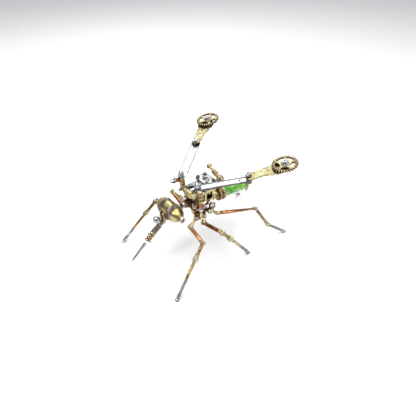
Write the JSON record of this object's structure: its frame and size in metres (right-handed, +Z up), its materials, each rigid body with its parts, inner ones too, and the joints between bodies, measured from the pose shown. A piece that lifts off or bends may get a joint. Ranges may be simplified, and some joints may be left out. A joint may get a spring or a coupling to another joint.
{
  "type": "mechanical mosquito figure kit",
  "caption": "Poseable metal insect figure built from turned tubes, stamped plates, gears and screws, with a glass abdomen tube, jointed legs, swivelling wings and a tilting needle proboscis.",
  "frame": {"origin": "on the floor under the middle of the bounding box", "axes": "+Y towards the tail, the head faces -Y, +X is the insect's left, +Z up"},
  "size_m": [0.1378, 0.1724, 0.1098],
  "materials": {
    "brass": "polished brass",
    "copper": "polished copper, thin clear coat",
    "bronze": "brushed bronze",
    "red_copper": "dark red anodised copper tone",
    "polished_steel": "mirror-polished stainless steel",
    "gunmetal": "brushed gunmetal steel",
    "dark_bronze": "dark oxidised metal",
    "black_rubber": "matt black rubber",
    "clear_glass": "clear glass",
    "green_liquid": "bright green liquid",
    "olive_brass": "aged brass with a steel screw tip"
  },
  "bodies": {
    "coxa_lf": {"coxa_lf": "brass"},
    "femur_lf": {"femur_lf": "copper"},
    "tibia_lf": {"tibia_lf": "bronze"},
    "tarsus_lf": {"tarsus_lf": "olive_brass"},
    "coxa_lm": {"coxa_lm": "brass"},
    "femur_lm": {"femur_lm": "copper"},
    "tibia_lm": {"tibia_lm": "bronze"},
    "tarsus_lm": {"tarsus_lm": "olive_brass"},
    "coxa_lh": {"coxa_lh": "brass"},
    "femur_lh": {"femur_lh": "copper"},
    "tibia_lh": {"tibia_lh": "bronze"},
    "tarsus_lh": {"tarsus_lh": "olive_brass"},
    "coxa_rf": {"coxa_rf": "brass"},
    "femur_rf": {"femur_rf": "copper"},
    "tibia_rf": {"tibia_rf": "bronze"},
    "tarsus_rf": {"tarsus_rf": "olive_brass"},
    "coxa_rm": {"coxa_rm": "brass"},
    "femur_rm": {"femur_rm": "copper"},
    "tibia_rm": {"tibia_rm": "bronze"},
    "tarsus_rm": {"tarsus_rm": "olive_brass"},
    "coxa_rh": {"coxa_rh": "brass"},
    "femur_rh": {"femur_rh": "copper"},
    "tibia_rh": {"tibia_rh": "bronze"},
    "tarsus_rh": {"tarsus_rh": "olive_brass"},
    "thorax": {"hip_plate": "brass", "thorax_cowl": "red_copper", "thorax_cage": "brass", "thorax_funnel": "red_copper", "centre_bolt": "polished_steel", "bolt_nut": "polished_steel", "front_plate": "dark_bronze", "top_cover": "polished_steel", "rear_deck": "polished_steel", "wing_mount_left": "copper", "wing_nut_left": "polished_steel", "wing_mount_right": "copper", "wing_nut_right": "polished_steel", "dorsal_arm": "brass", "rear_bracket": "polished_steel"},
    "roller": {"knurled_roller": "brass"},
    "strip_left": {"wing_strip_left": "polished_steel"},
    "bracket_left": {"wing_bracket_left": "brass"},
    "gear_left": {"wing_gear_left": "brass"},
    "strip_right": {"wing_strip_right": "polished_steel"},
    "bracket_right": {"wing_bracket_right": "brass"},
    "gear_right": {"wing_gear_right": "brass"},
    "abdomen": {"abdomen_cap": "copper", "abdomen_tube": "clear_glass", "abdomen_liquid": "green_liquid"},
    "neck": {"neck_link": "polished_steel", "neck_ring": "black_rubber"},
    "head": {"head_drum": "brass", "eye_left": "brass", "eye_right": "brass", "face_fork": "copper", "chin_ball": "polished_steel"},
    "proboscis": {"proboscis_sleeve": "gunmetal", "proboscis_nozzle": "brass", "proboscis_needle": "gunmetal"}
  },
  "joints": [
    {"name": "hip_lf", "type": "hinge", "parent": "thorax", "child": "coxa_lf", "pos_m": [0.012, -0.01972, 0.046], "axis": [0, 0, 1], "range_deg": [-12, 14]},
    {"name": "knee_lf", "type": "hinge", "parent": "coxa_lf", "child": "femur_lf", "pos_m": [0.015, -0.02872, 0.042], "axis": [0.1406, -0.4532, 0.8802], "range_deg": [-18, 12]},
    {"name": "shin_lf", "type": "hinge", "parent": "femur_lf", "child": "tibia_lf", "pos_m": [0.0365, -0.02982, 0.038], "axis": [-0.1072, 0.6477, -0.7543], "range_deg": [-30, 12]},
    {"name": "ankle_lf", "type": "hinge", "parent": "tibia_lf", "child": "tarsus_lf", "pos_m": [0.0408, -0.04192, 0.027], "axis": [-0.1072, 0.6477, -0.7543], "range_deg": [-25, 25]},
    {"name": "hip_lm", "type": "hinge", "parent": "thorax", "child": "coxa_lm", "pos_m": [0.0138, -0.01102, 0.046], "axis": [0, 0, 1], "range_deg": [-12, 14]},
    {"name": "knee_lm", "type": "hinge", "parent": "coxa_lm", "child": "femur_lm", "pos_m": [0.0178, -0.01472, 0.0426], "axis": [0.0642, -0.8424, 0.535], "range_deg": [-18, 12]},
    {"name": "shin_lm", "type": "hinge", "parent": "femur_lm", "child": "tibia_lm", "pos_m": [0.0423, -0.01152, 0.0447], "axis": [-0.1534, 0.7585, 0.6334], "range_deg": [-30, 12]},
    {"name": "ankle_lm", "type": "hinge", "parent": "tibia_lm", "child": "tarsus_lm", "pos_m": [0.0421, -0.00062, 0.0316], "axis": [-0.1534, 0.7585, 0.6334], "range_deg": [-25, 25]},
    {"name": "hip_lh", "type": "hinge", "parent": "thorax", "child": "coxa_lh", "pos_m": [0.0115, -0.00152, 0.046], "axis": [0, 0, 1], "range_deg": [-12, 14]},
    {"name": "knee_lh", "type": "hinge", "parent": "coxa_lh", "child": "femur_lh", "pos_m": [0.0142, 0.00478, 0.0434], "axis": [0.8778, -0.099, 0.4686], "range_deg": [-18, 12]},
    {"name": "shin_lh", "type": "hinge", "parent": "femur_lh", "child": "tibia_lh", "pos_m": [0.0235, 0.04748, 0.035], "axis": [-0.9079, 0.1187, -0.402], "range_deg": [-30, 12]},
    {"name": "ankle_lh", "type": "hinge", "parent": "tibia_lh", "child": "tarsus_lh", "pos_m": [0.0336, 0.05768, 0.0152], "axis": [0.8917, -0.0045, 0.4526], "range_deg": [-25, 25]},
    {"name": "hip_rf", "type": "hinge", "parent": "thorax", "child": "coxa_rf", "pos_m": [-0.012, -0.01972, 0.046], "axis": [0, 0, -1], "range_deg": [-12, 14]},
    {"name": "knee_rf", "type": "hinge", "parent": "coxa_rf", "child": "femur_rf", "pos_m": [-0.015, -0.02872, 0.042], "axis": [-0.2909, 0.5441, -0.787], "range_deg": [-18, 12]},
    {"name": "shin_rf", "type": "hinge", "parent": "femur_rf", "child": "tibia_rf", "pos_m": [-0.037, -0.03542, 0.0455], "axis": [0.3233, -0.788, 0.5239], "range_deg": [-30, 12]},
    {"name": "ankle_rf", "type": "hinge", "parent": "tibia_rf", "child": "tarsus_rf", "pos_m": [-0.0412, -0.04592, 0.0323], "axis": [0.3233, -0.788, 0.5239], "range_deg": [-25, 25]},
    {"name": "hip_rm", "type": "hinge", "parent": "thorax", "child": "coxa_rm", "pos_m": [-0.0138, -0.01102, 0.046], "axis": [0, 0, -1], "range_deg": [-12, 14]},
    {"name": "knee_rm", "type": "hinge", "parent": "coxa_rm", "child": "femur_rm", "pos_m": [-0.0178, -0.01472, 0.0426], "axis": [0.0642, 0.8424, -0.535], "range_deg": [-18, 12]},
    {"name": "shin_rm", "type": "hinge", "parent": "femur_rm", "child": "tibia_rm", "pos_m": [-0.0423, -0.01152, 0.0447], "axis": [-0.1534, -0.7585, -0.6334], "range_deg": [-30, 12]},
    {"name": "ankle_rm", "type": "hinge", "parent": "tibia_rm", "child": "tarsus_rm", "pos_m": [-0.0421, -0.00062, 0.0316], "axis": [-0.1534, -0.7585, -0.6334], "range_deg": [-25, 25]},
    {"name": "hip_rh", "type": "hinge", "parent": "thorax", "child": "coxa_rh", "pos_m": [-0.0115, -0.00152, 0.046], "axis": [0, 0, -1], "range_deg": [-12, 14]},
    {"name": "knee_rh", "type": "hinge", "parent": "coxa_rh", "child": "femur_rh", "pos_m": [-0.0142, 0.00478, 0.0434], "axis": [0.9376, 0.2795, -0.2068], "range_deg": [-18, 12]},
    {"name": "shin_rh", "type": "hinge", "parent": "femur_rh", "child": "tibia_rh", "pos_m": [-0.028, 0.04338, 0.033], "axis": [-0.9446, -0.3048, 0.1221], "range_deg": [-30, 12]},
    {"name": "ankle_rh", "type": "hinge", "parent": "tibia_rh", "child": "tarsus_rh", "pos_m": [-0.0364, 0.06268, 0.0162], "axis": [0.8747, -0.0398, -0.483], "range_deg": [-25, 25]},
    {"name": "roller_spin", "type": "hinge", "parent": "thorax", "child": "roller", "pos_m": [0, -0.01972, 0.0706], "axis": [1, 0, 0], "continuous": true},
    {"name": "wing_swivel_left", "type": "hinge", "parent": "thorax", "child": "strip_left", "pos_m": [0.0134, -0.01792, 0.0825], "axis": [-0.1279, -0.1674, 0.9776], "range_deg": [-12, 18]},
    {"name": "wing_elbow_left", "type": "hinge", "parent": "strip_left", "child": "bracket_left", "pos_m": [0.0413, 0.01858, 0.0924], "axis": [-0.1279, -0.1674, 0.9776], "range_deg": [-20, 20]},
    {"name": "wing_gear_spin_left", "type": "hinge", "parent": "bracket_left", "child": "gear_left", "pos_m": [0.05696, 0.04658, 0.10493], "axis": [-0.0169, -0.2481, 0.9686], "continuous": true},
    {"name": "wing_swivel_right", "type": "hinge", "parent": "thorax", "child": "strip_right", "pos_m": [-0.0134, -0.01792, 0.0825], "axis": [-0.1279, 0.1674, -0.9776], "range_deg": [-12, 18]},
    {"name": "wing_elbow_right", "type": "hinge", "parent": "strip_right", "child": "bracket_right", "pos_m": [-0.0413, 0.01858, 0.0924], "axis": [-0.1279, 0.1674, -0.9776], "range_deg": [-20, 20]},
    {"name": "wing_gear_spin_right", "type": "hinge", "parent": "bracket_right", "child": "gear_right", "pos_m": [-0.05696, 0.04658, 0.10493], "axis": [-0.0169, 0.2481, -0.9686], "continuous": true},
    {"name": "abdomen_tilt", "type": "hinge", "parent": "thorax", "child": "abdomen", "pos_m": [0, 0.01048, 0.0546], "axis": [1, 0, 0], "range_deg": [-8, 10]},
    {"name": "neck_turn", "type": "hinge", "parent": "thorax", "child": "neck", "pos_m": [0, -0.02532, 0.0588], "axis": [0, 0, 1], "range_deg": [-14, 14]},
    {"name": "head_nod", "type": "hinge", "parent": "neck", "child": "head", "pos_m": [0, -0.03102, 0.0593], "axis": [1, 0, 0], "range_deg": [-12, 12]},
    {"name": "proboscis_tilt", "type": "hinge", "parent": "head", "child": "proboscis", "pos_m": [0, -0.05012, 0.0496], "axis": [1, 0, 0], "range_deg": [0, 22]}
  ]
}
